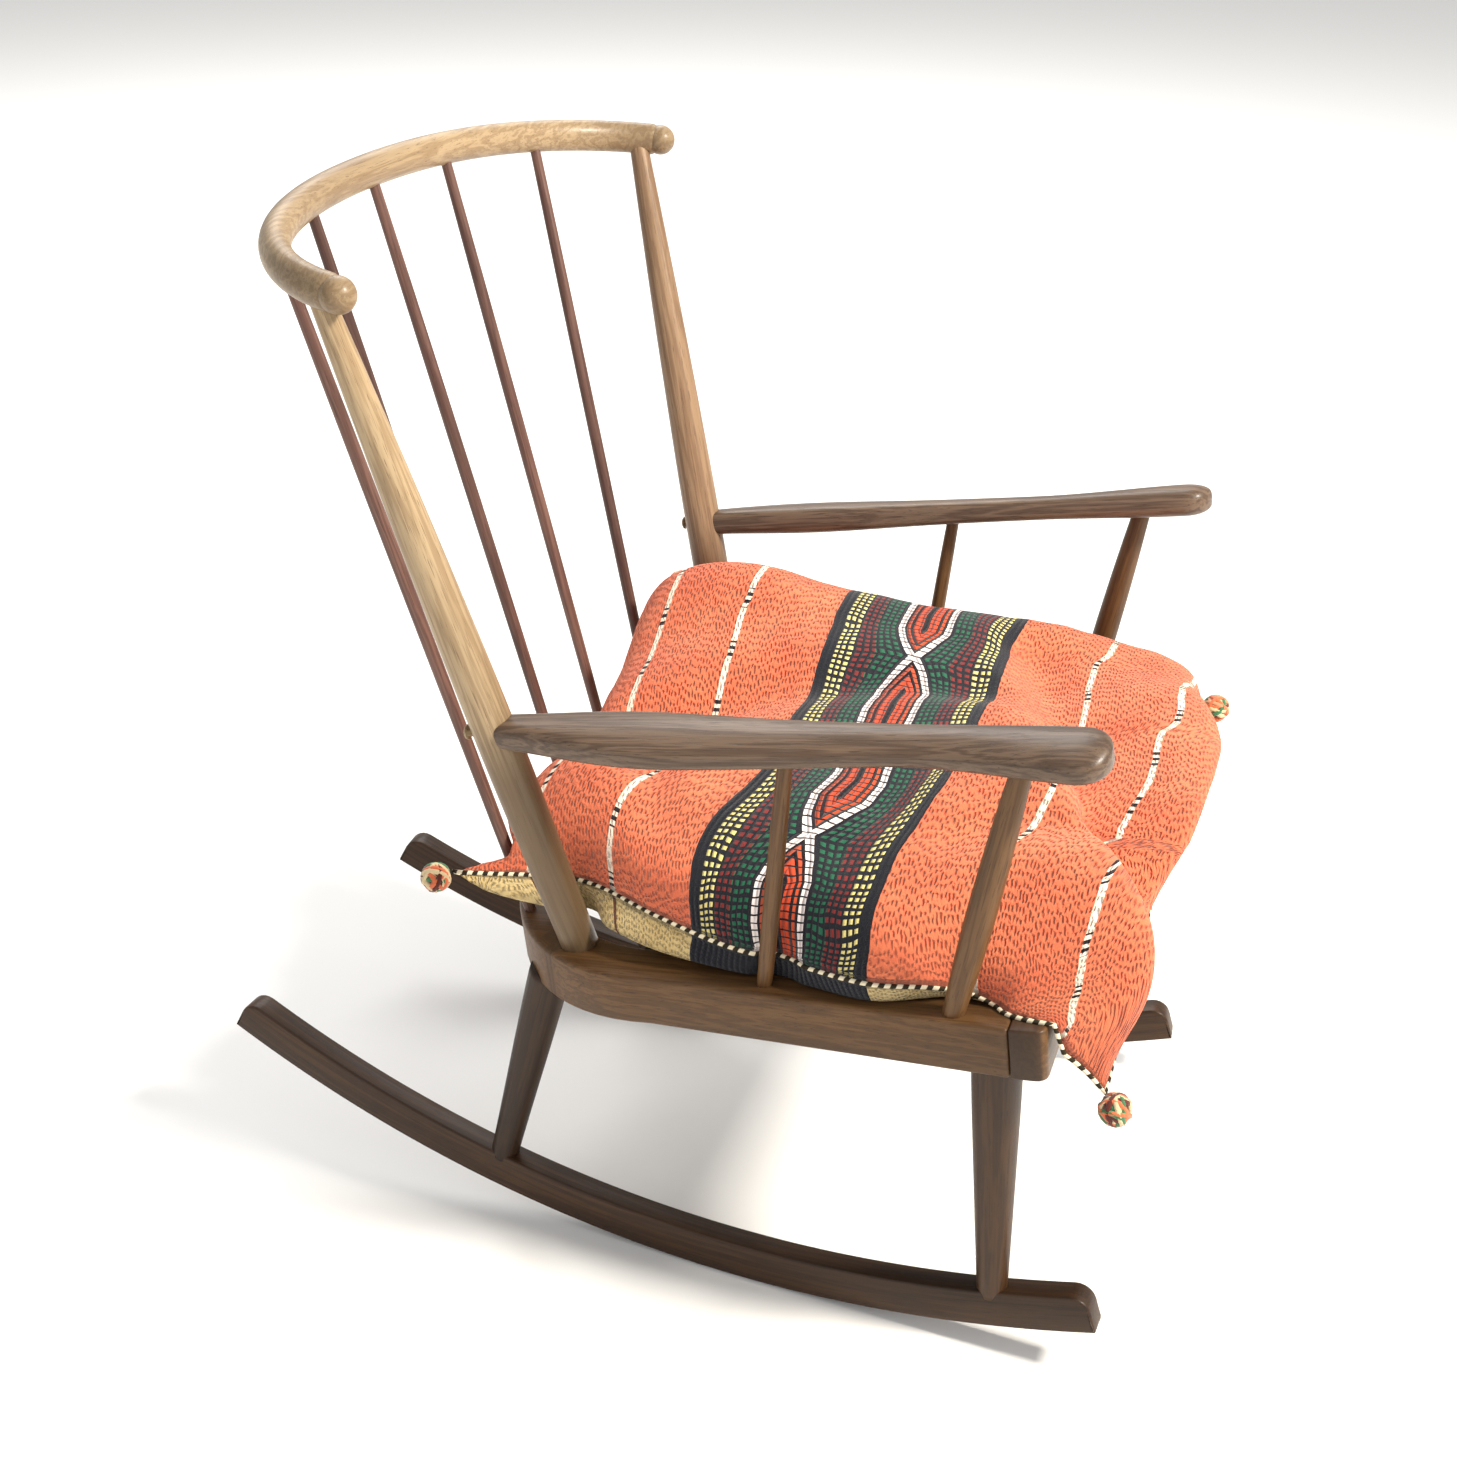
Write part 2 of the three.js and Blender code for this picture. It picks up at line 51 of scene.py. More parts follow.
class Number:  # wraps a socket so that shader maths reads as Python
    def __init__(self, look, socket):
        self.look, self.socket = look, socket

    def math(self, operation, *values):
        return self.look.node("ShaderNodeMath", {"operation": operation}, dict(enumerate(values)))

    def __add__(self, other): return self.math("ADD", self, other)
    def __radd__(self, other): return self.math("ADD", other, self)
    def __sub__(self, other): return self.math("SUBTRACT", self, other)
    def __rsub__(self, other): return self.math("SUBTRACT", other, self)
    def __mul__(self, other): return self.math("MULTIPLY", self, other)
    def __rmul__(self, other): return self.math("MULTIPLY", other, self)
    def __truediv__(self, other): return self.math("DIVIDE", self, other)
    def __pow__(self, other): return self.math("POWER", self, other)
    def __lt__(self, other): return self.math("LESS_THAN", self, other)
    def __gt__(self, other): return self.math("GREATER_THAN", self, other)
    def __abs__(self): return self.math("ABSOLUTE", self)
    def floor(self): return self.math("FLOOR", self)
    def part(self): return self.math("FRACT", self)
    def least(self, other): return self.math("MINIMUM", self, other)
    def most(self, other): return self.math("MAXIMUM", self, other)


class Look:  # one material and its nodes
    def __init__(self, name, **constants):
        self.material = bpy.data.materials.new(name)
        self.material.use_nodes = True
        self.tree = self.material.node_tree
        self.shader = self.tree.nodes["Principled BSDF"]
        for socket, value in constants.items():
            self.shader.inputs[socket.replace("_", " ")].default_value = value

    def node(self, kind, settings=None, values=None, out=0):
        made = self.tree.nodes.new(kind)
        for name, value in (settings or {}).items():
            if name == "stops":
                ramp = made.color_ramp
                while len(ramp.elements) < len(value):
                    ramp.elements.new(0.5)
                for stop, (place, colour) in zip(ramp.elements, value):
                    stop.position, stop.color = place, (*colour, 1)
            elif name == "steps":
                made.color_ramp.interpolation = value
            else:
                setattr(made, name, value)
        for name, value in (values or {}).items():
            value = numberOf(value)
            if isinstance(value, bpy.types.NodeSocket):
                self.tree.links.new(value, made.inputs[name])
            else:
                made.inputs[name].default_value = value
        return Number(self, made.outputs[out])

    def noise(self, vector, scale, detail=3, roughness=0.5):
        return self.node("ShaderNodeTexNoise", {}, {"Vector": vector, "Scale": scale, "Detail": detail,
                                                    "Roughness": roughness})

    def ramp(self, value, *stops, steps="LINEAR"):
        return self.node("ShaderNodeValToRGB", {"stops": stops, "steps": steps}, {0: value})

    def curve(self, value, low, high):
        return self.node("ShaderNodeMapRange", {"interpolation_type": "SMOOTHSTEP"},
                         {"Value": value, "From Min": low, "From Max": high})

    def mix(self, factor, first, second):
        def colour(value):
            return value if isinstance(value, Number) else (*value, 1)
        return self.node("ShaderNodeMix", {"data_type": "RGBA"},
                         {0: factor, 6: colour(first), 7: colour(second)}, out=2)

    def stretch(self, vector, scale):
        return self.node("ShaderNodeMapping", {}, {"Vector": vector, "Scale": scale})

    def attribute(self, name, out=1):  # output 1 is the vector and 2 the single number
        return self.node("ShaderNodeAttribute", {"attribute_name": name}, {}, out)

    def parts(self, vector):
        split = self.node("ShaderNodeSeparateXYZ", {}, {0: vector})
        return [Number(self, socket) for socket in split.socket.node.outputs]

    def finish(self, colour, roughness=None, height=None, distance=0.001, strength=1.0):
        self.tree.links.new(colour.socket, self.shader.inputs["Base Color"])
        if roughness is not None:
            self.tree.links.new(roughness.socket, self.shader.inputs["Roughness"])
        if height is not None:
            bump = self.node("ShaderNodeBump", {},
                             {"Height": height, "Distance": distance, "Strength": strength})
            self.tree.links.new(bump.socket, self.shader.inputs["Normal"])
        return self.material


def srgb(text):
    values = [int(text[i:i + 2], 16) / 255 for i in (0, 2, 4)]
    return tuple(v / 12.92 if v <= 0.04045 else ((v + 0.055) / 1.055) ** 2.4 for v in values)


# stained wood, and a darker copy of the golden wood that is painted shade: grain runs along each piece's own
# length
woods = {
    "darkWood": {"deep": "130a04", "body": "2e1b0b", "light": "4a3017", "shine": 0.46},
    "midWood": {"deep": "28180b", "body": "50361c", "light": "70502f", "shine": 0.42},
    "armWood": {"deep": "261c16", "body": "49382c", "light": "75604e", "shine": 0.34},
    "goldenWood": {"deep": "58442f", "body": "8a7254", "light": "b59e7c", "shine": 0.34},
    # a darker copy of goldenWood: painted shade for the left post
    "shadedWood": {"deep": "4a3424", "body": "7a5e46", "light": "a08466", "shine": 0.34},
    "spindleWood": {"deep": "2e1c18", "body": "553a32", "light": "7d5c50", "shine": 0.34},
}


def woodLook(name, tone):
    look = Look(name, Specular_IOR_Level=0.27, Coat_Weight=0.10, Coat_Roughness=0.22)
    grain = look.attribute("grain")
    wander = look.noise(look.stretch(grain, (9, 9, 1.6)), 1, 2)
    rings = look.noise(look.stretch(grain, (60, 60, 2.2)), 1, 4, 0.6)
    fibre = look.noise(look.stretch(grain, (520, 520, 9)), 1, 3, 0.6)
    pores = look.noise(look.stretch(grain, (1500, 1500, 45)), 1, 1)
    bands = (rings * 7 + wander * 5).part()
    figure = look.curve(abs(bands * 2 - 1), 0.05, 0.95)
    colour = look.mix(figure * 0.55 + fibre * 0.3, srgb(tone["body"]), srgb(tone["light"]))
    colour = look.mix(look.curve(wander, 0.35, 0.7) * 0.55, colour, srgb(tone["deep"]))
    poreMask = look.curve(pores, 0.62, 0.7)
    colour = look.mix(poreMask * 0.55, colour, srgb(tone["deep"]))
    # darker end grain, and on the posts painted shade below the arms
    colour = look.mix(look.attribute("endShade", 2) * 0.75, colour, srgb(tone["deep"]))
    worn = look.curve(look.noise(look.stretch(grain, (30, 30, 12)), 1, 4, 0.65), 0.6, 0.8)
    colour = look.mix(worn * 0.22, colour, srgb(tone["light"]))
    roughness = tone["shine"] + fibre * 0.12 + worn * 0.12
    return look.finish(colour, roughness, fibre * 0.5 + rings * 0.4 - poreMask * 0.5, 0.0005, 0.35)


woodMaterials = {name: woodLook(name, tone) for name, tone in woods.items()}
print("wood looks made")


# shaping helpers
def ease(points, share):  # a smooth value between evenly spaced values
    spot = min(max(share, 0), 1) * (len(points) - 1)
    i = min(int(spot), len(points) - 2)
    t = spot - i
    a, b = points[i], points[i + 1]
    before = points[i - 1] if i else 2 * a - b
    after = points[i + 2] if i + 2 < len(points) else 2 * b - a
    return 0.5 * (2 * a + (b - before) * t + (2 * before - 5 * a + 4 * b - after) * t * t
                  + (3 * a - before - 3 * b + after) * t ** 3)


def smoothStep(value, low, high):
    t = min(1, max(0, (value - low) / (high - low)))
    return t * t * (3 - 2 * t)


def aim(foot, head):  # the turn and place that stand a piece made along +Z from foot towards head
    return Matrix.Translation(foot) @ (head - foot).to_track_quat("Z", "Y").to_matrix().to_4x4()


# local gives the grain coordinates, and place puts the piece in the chair
def finishPiece(name, bm, material, body, node, place=None, local=None, smooth=True, shadeEnds=True):
    bm.normal_update()
    grain = bm.verts.layers.float_vector.get("grain") or bm.verts.layers.float_vector.new("grain")
    endShade = bm.verts.layers.float.new("endShade")
    offset = Vector((len(name) * 0.731 % 1, sum(map(ord, name)) * 0.377 % 1, sum(map(ord, name)) * 0.113 % 1))
    for vert in bm.verts:
        spot = local(vert) if local else vert.co
        vert[grain] = Vector(spot) + offset
        if shadeEnds:
            vert[endShade] = max(0, abs(vert.normal.z) - 0.8) * 5 if not local else 0
    if place is not None:
        bmesh.ops.transform(bm, matrix=place, verts=bm.verts)
    bmesh.ops.translate(bm, vec=footprintShift, verts=bm.verts)
    bmesh.ops.recalc_face_normals(bm, faces=bm.faces)
    mesh = bpy.data.meshes.new(name)
    bm.to_mesh(mesh)
    bm.free()
    piece = bpy.data.objects.new(name, mesh)
    scene.collection.objects.link(piece)
    mesh.materials.append(material)
    mesh.polygons.foreach_set("use_smooth", [smooth] * len(mesh.polygons))
    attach(piece, body)
    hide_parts(node)
    return piece


def lathe(profile, steps=32):  # a closed turned shape from (radius, height) pairs
    bm = bmesh.new()
    verts = [bm.verts.new((radius, 0, height)) for radius, height in profile]
    edges = [bm.edges.new(pair) for pair in zip(verts, verts[1:])]
    bmesh.ops.spin(bm, geom=verts + edges, cent=(0, 0, 0), axis=(0, 0, 1), angle=2 * math.pi, steps=steps,
                   use_merge=True)
    bmesh.ops.remove_doubles(bm, verts=bm.verts, dist=1e-5)
    return bm


def turned(name, foot, head, radii, over, material, rings=26):
    length = (head - foot).length
    profile = [(0, -over), (radii[0] * 0.98, -over)]
    profile += [(ease(radii, i / rings), length * i / rings) for i in range(rings + 1)]
    profile += [(radii[-1] * 0.98, length + over), (0, length + over)]
    return finishPiece(name + "Wood", lathe(profile), woodMaterials[material], "chair", name,
                       place=aim(foot, head))


# a closed bar: section(share, x, y) gives the place of a unit circle's point at each station along it
def tube(stations, segments, section):
    bm = bmesh.new()
    made = bmesh.ops.create_circle(bm, cap_ends=True, segments=segments, radius=1)
    if segments == 4:  # a square section with its corners at 1, 1
        bmesh.ops.rotate(bm, verts=made["verts"], cent=(0, 0, 0), matrix=Matrix.Rotation(math.pi / 4, 3, "Z"))
        bmesh.ops.scale(bm, vec=(math.sqrt(2), math.sqrt(2), 1), verts=made["verts"])
    share = bm.verts.layers.float.new("share")
    face = bm.faces[:][0]
    for v in bm.verts:
        v[share] = stations[0]
    for station in stations[1:]:
        grown = bmesh.ops.extrude_face_region(bm, geom=[face])
        if face.is_valid and station != stations[1]:
            bm.faces.remove(face)
        face = next(g for g in grown["geom"] if isinstance(g, bmesh.types.BMFace))
        for v in face.verts:
            v[share] = station
    for v in bm.verts:
        v.co = section(v[share], v.co.x, v.co.y)
    bmesh.ops.remove_doubles(bm, verts=bm.verts, dist=1e-6)
    return bm


def barEdges(bm, sharpness=0.7):  # the long and end edges of a bar that are sharp enough to round
    return [e for e in bm.edges if len(e.link_faces) == 2 and e.calc_face_angle(0) > sharpness]


def roundEdges(bm, edges, offset, segments):
    bmesh.ops.bevel(bm, geom=edges, offset=offset, segments=segments, profile=0.5, affect="EDGES",
                    material=-1)


# the frame's own lines
seat = {"height": 0.3166, "slope": 6.89, "thickness": 0.042, "railWidth": 0.044, "frontFace": 0.2553,
        "frontDepth": 0.027, "frontHalf": 0.2665, "cornerRound": 0.009, "sideHalf": 0.247, "flare": 0.085,
        "bendStart": 0.06, "backEdge": 0.2397, "bendOut": 0.003, "bendBack": 0.11, "bendIn": 0.107}
rocker = {"radius": 1.03, "height": 0.034, "width": 0.022, "rearEnd": 28, "frontEnd": 17.5,
          "halfGauge": 0.1903, "toeIn": 3.9, "endRound": 0.015, "edge": 0.0022, "underGap": 0.0004}
crest = {"middle": (0, 0.3807), "end": (0.2999, 0.2464), "reach": 0.2297, "endReach": 0.0514,
         "endTurn": -75.2, "endHeight": 0.8356, "rise": 0.065, "arch": 0.0086, "tall": 0.013, "deep": 0.011}
arm = {"rear": (0.2373, 0.1668, 0.5003), "slope": 9.35, "roll": 7.5, "length": 0.453, "thickness": 0.02,
       "bow": (0, 0.010, 0.0145, 0.016, 0.0265), "halfWidth": (0.012, 0.024, 0.0198, 0.0155, 0.0236),
       "overhang": 0.008}
slopeTan = math.tan(math.radians(seat["slope"]))
seatTurn = Matrix.Rotation(-math.radians(seat["slope"]), 4, "X")
seatMatrix = Matrix.Translation((0, 0, seat["height"])) @ seatTurn


def seatTop(x, y):
    return Vector((x, y, seat["height"] - slopeTan * y))


def seatUnder(x, y):
    return seatTop(x, y) - Vector((0, 0, seat["thickness"] / math.cos(math.radians(seat["slope"]))))


def rockerTop(y):
    x = rocker["halfGauge"] - math.tan(math.radians(rocker["toeIn"])) * y
    return Vector((x, y, rocker["radius"] - math.sqrt((rocker["radius"] - rocker["height"]) ** 2 - y * y)))


def bezier(a, b, c, d, t):
    return a * (1 - t) ** 3 + b * 3 * t * (1 - t) ** 2 + c * 3 * t * t * (1 - t) + d * t ** 3


crestTurn = math.radians(crest["endTurn"])
crestEnd = Vector(crest["end"])
crestPull = (Vector(crest["middle"]), Vector((crest["reach"], crest["middle"][1])),
             crestEnd - crest["endReach"] * Vector((math.cos(crestTurn), math.sin(crestTurn))), crestEnd)


def crestPoint(share):  # share runs from -1 at the right end to 1 at the left
    flat = bezier(*crestPull, abs(share))
    arch = crest["arch"] * (1 - (flat.x / crestEnd.x) ** 2)
    height = crest["endHeight"] + crest["rise"] * (flat.y - crestEnd.y) + arch
    return Vector((math.copysign(flat.x, share), flat.y, height))


# turned members
post = {"foot": (0.1993, 0.1304), "crestShare": 0.878, "paintedShadeTop": 0.52,
        "radii": (0.0148, 0.0156, 0.0165, 0.0163, 0.0150, 0.0133, 0.0109, 0.0082)}
spindle = {"radius": 0.0052, "feet": ((0, 0.2168), (0.0929, 0.2165), (0.154, 0.1937)),
           "crestShare": (0, 0.19, 0.465)}
leg = {"front": ((0.238, -0.2164), -0.2216, (0.0125, 0.014, 0.0155, 0.017, 0.0185, 0.0195)),
       "rear": ((0.183, 0.165), 0.2165, (0.012, 0.013, 0.0142, 0.0155, 0.0166, 0.0175))}
support = {"front": ((0.250, -0.184), (0.2648, -0.2218), (0.0083, 0.010, 0.0108, 0.0104, 0.0094, 0.0078)),
           "mid": ((0.2345, -0.0355), (0.2556, -0.0541), (0.0059, 0.0064, 0.0066, 0.0064, 0.0061, 0.0055))}

for k in range(-2, 3):
    sign = -1 if k < 0 else 1
    fx, fy = spindle["feet"][abs(k)]
    r = spindle["radius"]
    turned(f"spindle_{k + 3}", seatTop(sign * fx, fy), crestPoint(sign * spindle["crestShare"][abs(k)]),
           (r - 0.0006, r, r + 0.0002, r, r - 0.0008), 0.004, "spindleWood")

for word, side in sides:
    # the left post takes the darker copy of its wood: painted shade
    made = turned(f"post_{word}", seatTop(side * post["foot"][0], post["foot"][1]),
                  crestPoint(side * post["crestShare"]), post["radii"], 0.003,
                  "goldenWood" if side < 0 else "shadedWood", rings=40)
    shade = made.data.attributes["endShade"].data
    for vert in made.data.vertices:  # painted shade: the posts are darker below the arms, where the arms' shadow falls
        shade[vert.index].value = 1 - smoothStep(vert.co.z, post["paintedShadeTop"] - 0.07, post["paintedShadeTop"])
    for kind in ("front", "rear"):
        head, footY, radii = leg[kind]
        foot = rockerTop(footY)
        foot.x *= side
        turned(f"leg_{kind}_{word}", foot, seatUnder(side * head[0], head[1]), radii, 0.006, "darkWood")
print("turned members made")

# arms: shaped paddles with a soft ridge
armSlope, armRoll = math.radians(arm["slope"]), math.radians(arm["roll"])


def armMatrix(side):
    turn = Matrix.Rotation(-armSlope, 4, "X") @ Matrix.Rotation(side * armRoll, 4, "Y")
    return Matrix.Translation((side * arm["rear"][0], arm["rear"][1], arm["rear"][2])) @ turn


def makeArm(word, side):
    count = 56
    stations = [0.5 - 0.5 * math.cos(math.pi * i / count) for i in range(count + 1)]
    span = arm["length"] - arm["halfWidth"][-1]

    def section(share, x, y):
        along = (arm["length"] + arm["overhang"]) * share - arm["overhang"]  # from the post to the front
        place = max(along, 0) / span
        bow = ease(arm["bow"], place)
        half = ease(arm["halfWidth"], place)
        tipLeft = arm["length"] - along
        front = min(1, max(0, tipLeft / arm["halfWidth"][-1]))
        nose = math.sqrt(max(0, 1 - (1 - front) ** 2.3)) ** 0.9
        back = min(1, max(0, (along + arm["overhang"]) / 0.012))
        heel = 0.72 + 0.28 * math.sqrt(max(0, 1 - (1 - back) ** 2))
        thick = arm["thickness"] / 2 * (1.02 + 0.26 * math.exp(-((place - 0.22) / 0.2) ** 2)
                                        + 0.30 * smoothStep(place, 0.7, 1))
        power = 3.0 + 2.0 * max(0, 1 - abs(place - 0.45) / 0.55)
        corner = (abs(x) ** power + abs(y) ** power) ** (-1 / power)
        u, w = x * corner, y * corner
        # the ridge runs down the outer side
        fall = smoothStep(place, 0, 0.4) * (1 - 0.55 * smoothStep(place, 0.75, 1))
        if w > 0:
            w *= 1 - 0.75 * fall * max(0, u + 0.15) ** 1.6 / 1.25
        height = w * thick * (0.35 + 0.65 * nose) * (0.75 + 0.25 * heel)
        return Vector((side * (bow + u * (half + 0.0012) * nose * heel), -along, height))

    bm = tube(stations, 40, section)
    finishPiece(f"arm_{word}Wood", bm, woodMaterials["armWood"], "chair", f"arm_{word}",
                place=armMatrix(side), local=lambda v: (v.co.x, v.co.z, v.co.y))


plug = {"start": 0.017, "stem": 0.0035, "rim": 0.006, "face": 0.016, "dome": 0.0027}
for word, side in sides:
    makeArm(word, side)
    matrix = armMatrix(side)
    up = matrix.to_3x3() @ Vector((0, 0, 1))
    for kind, (foot, head, radii) in support.items():
        start = matrix.translation
        x, y = side * head[0], head[1]
        z = start.z - (up.x * (x - start.x) + up.y * (y - start.y) + arm["thickness"] / 2) / up.z
        turned(f"arm_support_{kind}_{word}", seatTop(side * foot[0], foot[1]), Vector((x, y, z)), radii,
               0.004, "midWood")
    back = Vector((0, math.cos(armSlope), -math.sin(armSlope)))
    plugStart = matrix.translation + back * plug["start"]
    stem, rim, face, dome = plug["stem"], plug["rim"], plug["face"], plug["dome"]
    cap = [(0, 0), (stem, 0), (stem, face), (rim - 0.0004, face), (rim, face + 0.0005)]
    cap += [(rim * math.cos(a), face + 0.0005 + dome * math.sin(a)) for a in (0.35, 0.7, 1.05, 1.3)]
    cap += [(0, face + 0.0005 + dome)]
    finishPiece(f"arm_plug_{word}Wood", lathe(cap, 24), woodMaterials["goldenWood"], "chair",
                f"arm_plug_{word}", place=aim(plugStart, plugStart + back), shadeEnds=False)
print("arms made")


# crest rail: a steam-bent bow with a ball at each end
def crestFrame(share):
    step = 0.004
    low, high = max(-1, share - step), min(1, share + step)
    along = (crestPoint(high) - crestPoint(low)).normalized()
    across = along.cross(Vector((0, 0, 1))).normalized()
    return crestPoint(share), across, across.cross(along)


def crestSection(share, x, y):
    spot, across, up = crestFrame(share)
    grip = 1.04 - 0.26 * max(0, abs(share) - 0.96) / 0.04  # the neck behind each ball
    return spot + across * x * crest["deep"] * grip + up * y * crest["tall"] * grip


crestBar = tube([i / 45 - 1 for i in range(91)], 28, crestSection)
for side in (-1, 1):
    ball = bmesh.new()
    bmesh.ops.create_uvsphere(ball, u_segments=28, v_segments=18, radius=crest["tall"])
    bmesh.ops.translate(ball, vec=crestPoint(side), verts=ball.verts)
    ballMesh = bpy.data.meshes.new("ball")
    ball.to_mesh(ballMesh)
    ball.free()
    crestBar.from_mesh(ballMesh)
finishPiece("crest_railWood", crestBar, woodMaterials["goldenWood"], "chair", "crest_rail",
            local=lambda v: (v.co.z, v.co.y, v.co.x), shadeEnds=False)
print("crest made")


# rockers
def makeRocker(word, side):
    first, last = math.radians(-rocker["frontEnd"]), math.radians(rocker["rearEnd"])
    edge = rocker["endRound"] / rocker["radius"]
    stations = [first + edge * t for t in (0, 0.04, 0.12, 0.25, 0.45, 0.7)]
    stations += [first + edge + (last - first - 2 * edge) * i / 60 for i in range(61)]
    stations += [last - edge * t for t in (0.7, 0.45, 0.25, 0.12, 0.04, 0)]

    def section(angle, x, y):
        fromEnd = min(angle - first, last - angle) / edge
        drop = (1 - math.sqrt(max(0, 1 - max(0, 1 - fromEnd) ** 2))) * rocker["endRound"]
        depth = rocker["height"] - drop if y > 0 else rocker["underGap"]
        radius = rocker["radius"] - depth
        height = rocker["radius"] - radius * math.cos(angle)
        return Vector((x * rocker["width"] / 2, radius * math.sin(angle), height))

    def grainPlace(vert):  # the grain follows the curve
        depth = rocker["radius"] - math.hypot(vert.co.y, vert.co.z - rocker["radius"])
        return vert.co.x, depth, vert.co.y

    bm = tube(stations, 4, section)
    roundEdges(bm, barEdges(bm), rocker["edge"], 3)
    toeIn = Matrix.Rotation(side * math.radians(rocker["toeIn"]), 4, "Z")
    finishPiece(f"rocker_{word}Wood", bm, woodMaterials["darkWood"], "chair", f"rocker_{word}",
                place=Matrix.Translation((side * rocker["halfGauge"], 0, 0)) @ toeIn, local=grainPlace)


for word, side in sides:
    makeRocker(word, side)
print("rockers made")


# seat frame: the bent bow and the front rail
def bowPoint(share, inset):  # share runs from -1 at the right front round the back to 1 at the left front
    straightFront = -seat["frontFace"] + seat["frontDepth"] + 0.0003
    shrink = 1 - inset / seat["backEdge"]
    t = abs(share)

    def half(y):
        return seat["sideHalf"] - seat["flare"] * y - inset
    if t > 0.5:
        y = seat["bendStart"] + (straightFront - seat["bendStart"]) * (t - 0.5) * 2
        spot = Vector((half(y), y))
    else:
        bendX = seat["sideHalf"] + seat["bendOut"] - inset
        spot = bezier(Vector((0, seat["backEdge"] - inset)),
                      Vector(((seat["sideHalf"] - seat["bendIn"]) * shrink, seat["backEdge"] - inset)),
                      Vector((bendX, seat["bendStart"] + seat["bendBack"] * shrink)),
                      Vector((half(seat["bendStart"]), seat["bendStart"])), t * 2)
    return Vector((math.copysign(spot.x, share), spot.y))


def bowSection(share, x, y):
    spot = bowPoint(share, 0 if x > 0 else seat["railWidth"])
    return Vector((spot.x, spot.y, 0 if y > 0 else -seat["thickness"]))


bow = tube([i / 40 - 1 for i in range(81)], 4, bowSection)
roundEdges(bow, barEdges(bow), 0.003, 3)


def bowGrain(vert):  # along the sides, and then across the back
    if vert.co.y < 0.15:
        return abs(vert.co.x), vert.co.z, vert.co.y
    return vert.co.x, vert.co.z, vert.co.x


finishPiece("seat_bowWood", bow, woodMaterials["midWood"], "chair", "seat_bow", place=seatMatrix,
            local=bowGrain)

rail = bmesh.new()
bmesh.ops.create_cube(rail, size=1, matrix=Matrix.Translation(
    (0, -seat["frontFace"] + seat["frontDepth"] / 2, -seat["thickness"] / 2)) @ Matrix.Diagonal(
    (2 * seat["frontHalf"], seat["frontDepth"], seat["thickness"], 1)))
upright = [e for e in rail.edges if abs(e.verts[0].co.z - e.verts[1].co.z) > 0.03
           and e.verts[0].co.y < -seat["frontFace"] + 0.001]
roundEdges(rail, upright, seat["cornerRound"], 6)
roundEdges(rail, barEdges(rail, 1.2), 0.0018, 2)
cuts = [e for e in rail.edges if abs(e.verts[0].co.x - e.verts[1].co.x) > 0.3]
bmesh.ops.subdivide_edges(rail, edges=cuts, cuts=12, use_grid_fill=True)
railPiece = finishPiece("front_railWood", rail, woodMaterials["midWood"], "chair", "front_rail",
                        place=seatMatrix, local=lambda v: (v.co.y, v.co.z, v.co.x))
shade = railPiece.data.attributes["endShade"].data
for vert in railPiece.data.vertices:  # its ends show dark end grain
    shade[vert.index].value = 1.0 if abs(vert.co.x) > seat["frontHalf"] - 0.0025 else 0.0
print("seat frame made")

# webbing and its clips
strap = {"width": 0.05, "thick": 0.003, "pitch": 0.063, "first": -0.197, "count": 5, "drop": 0.008,
         "clip": 0.004, "clipTall": 0.009, "gap": 0.0003, "sag": 0.0012}


def rubberLook():
    look = Look("rubberWebbing", Specular_IOR_Level=0.3)
    spot = look.attribute("grain")
    along, across, _ = look.parts(spot)
    ribs = abs((across / 0.0042).part() * 2 - 1)
    weave = abs((along / 0.003).part() * 2 - 1)
    dust = look.noise(spot, 40, 4)
    colour = look.mix(look.curve(dust, 0.4, 0.75) * 0.5, srgb("1d1f22"), srgb("4a4844"))
    colour = look.mix(ribs * weave * 0.35, colour, srgb("5d5a52"))
    return look.finish(colour, 0.75 + dust * 0.2, ribs * 0.7 + weave * 0.3, 0.0006, 0.8)


def steelLook():
    look = Look("clipSteel", Metallic=1.0)
    spot = look.node("ShaderNodeTexCoord", {}, {}, out=3)
    stain = look.noise(spot, 90, 5, 0.6)
    colour = look.mix(look.curve(stain, 0.5, 0.75), srgb("9b9da0"), srgb("6d6459"))
    return look.finish(colour, 0.32 + stain * 0.25, stain, 0.0003, 0.4)


rubber, steel = rubberLook(), steelLook()
for i in range(strap["count"]):
    y = strap["first"] + i * strap["pitch"]
    rearEdge = y + strap["width"] / 2  # the rails come closer together towards the back
    face = seat["sideHalf"] - seat["flare"] * rearEdge - seat["railWidth"] - strap["gap"]
    half = face - strap["clip"] - strap["gap"]
    middle = -strap["drop"] + strap["thick"] / 2
    bm = bmesh.new()
    bmesh.ops.create_grid(bm, x_segments=36, y_segments=12, size=1)
    for v in bm.verts:
        sag = strap["sag"] * (1 - v.co.x ** 2)
        edge = 0.0003 * max(0, abs(v.co.y) - 0.85) / 0.15
        v.co = Vector((v.co.x * half, y + v.co.y * strap["width"] / 2, middle - sag - edge))
    bmesh.ops.solidify(bm, geom=bm.faces[:], thickness=strap["thick"] - 0.0012)
    finishPiece(f"strap_{i + 1}Band", bm, rubber, "chair", f"strap_{i + 1}", place=seatMatrix,
                local=lambda v: v.co, smooth=False)
    for word, side in sides:
        bm = bmesh.new()
        x, z = side * (face - strap["clip"] / 2), -strap["drop"] - 0.002
        bmesh.ops.create_cube(bm, size=1, matrix=Matrix.Translation((x, y, z)) @ Matrix.Diagonal(
            (strap["clip"], strap["width"], strap["clipTall"], 1)))
        inner = [f for f in bm.faces if f.normal.x * side < -0.9]
        bmesh.ops.inset_region(bm, faces=inner, thickness=0.0015, depth=-0.0008)
        roundEdges(bm, barEdges(bm, 1.0), 0.0005, 2)
        clip = f"strap_clip_{word}_{i + 1}"
        finishPiece(f"{clip}Steel", bm, steel, "chair", clip, place=seatMatrix,
                    local=lambda v: v.co, smooth=False)
print("webbing made")

